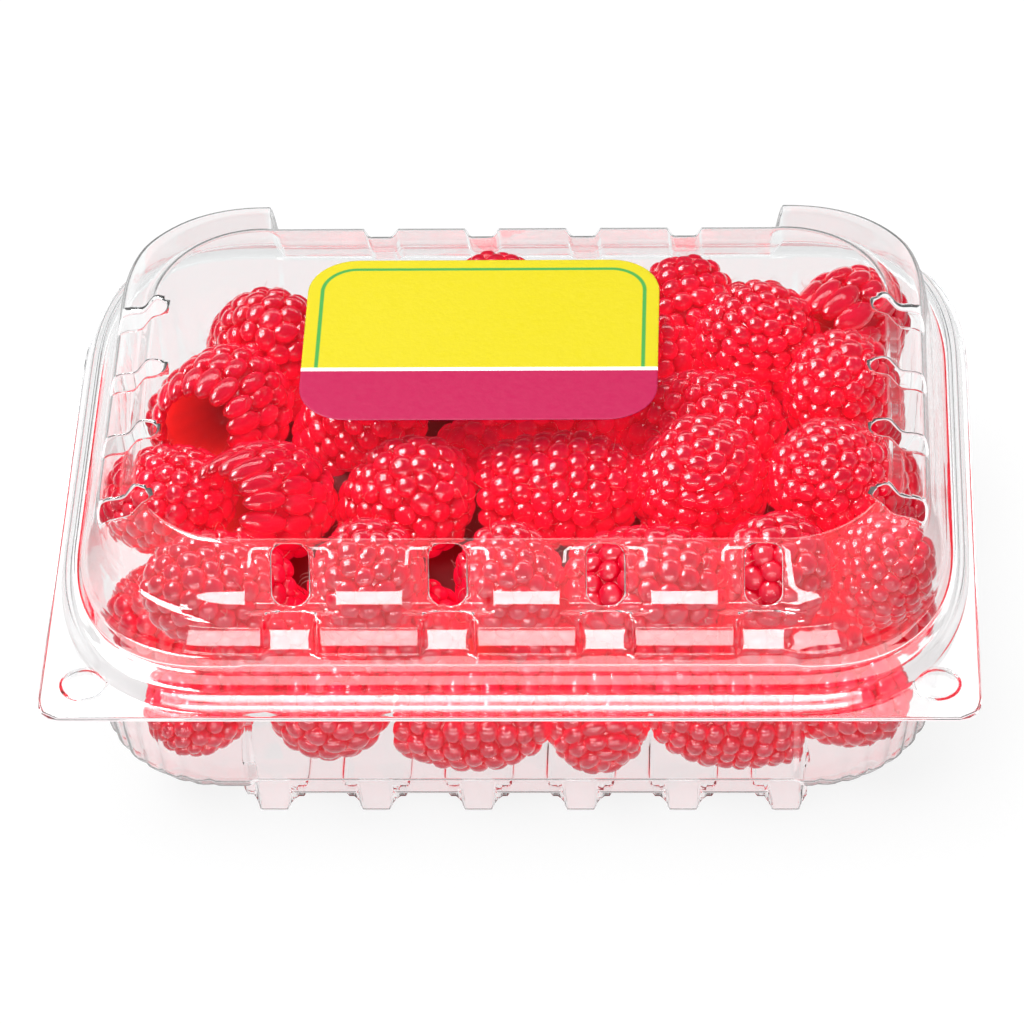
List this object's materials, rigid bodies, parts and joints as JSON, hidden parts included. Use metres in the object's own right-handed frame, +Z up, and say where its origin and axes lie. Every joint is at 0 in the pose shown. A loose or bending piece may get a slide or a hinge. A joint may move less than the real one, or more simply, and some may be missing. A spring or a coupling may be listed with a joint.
{
  "type": "punnet of raspberries",
  "caption": "Shut, clear hinged fruit punnet with a vented lid, filled with a heap of ripe raspberries, with a plain sticker on the lid.",
  "frame": {"origin": "middle of the footprint, on the plane the feet rest on", "axes": "+X along the long side, to the right as the front is faced; +Y from the front towards the hinge; +Z up through the lid"},
  "size_m": [0.184, 0.146, 0.0668],
  "materials": {
    "clear_tray": "clear, glossy formed sheet",
    "raspberry": "moist, softly shining drupelets with fine hairs",
    "clear_lid": "clear, glossy formed sheet",
    "sticker": "semi-gloss paper, yellow with a magenta band"
  },
  "bodies": {
    "base": {"tray": "clear_tray", "berries": "raspberry"},
    "cover": {"lid": "clear_lid", "label": "sticker"}
  },
  "joints": [
    {"name": "lid_hinge", "type": "hinge", "parent": "base", "child": "cover", "pos_m": [0, 0.0723, 0.042], "axis": [-1, 0, 0], "range_deg": [0, 180]}
  ]
}
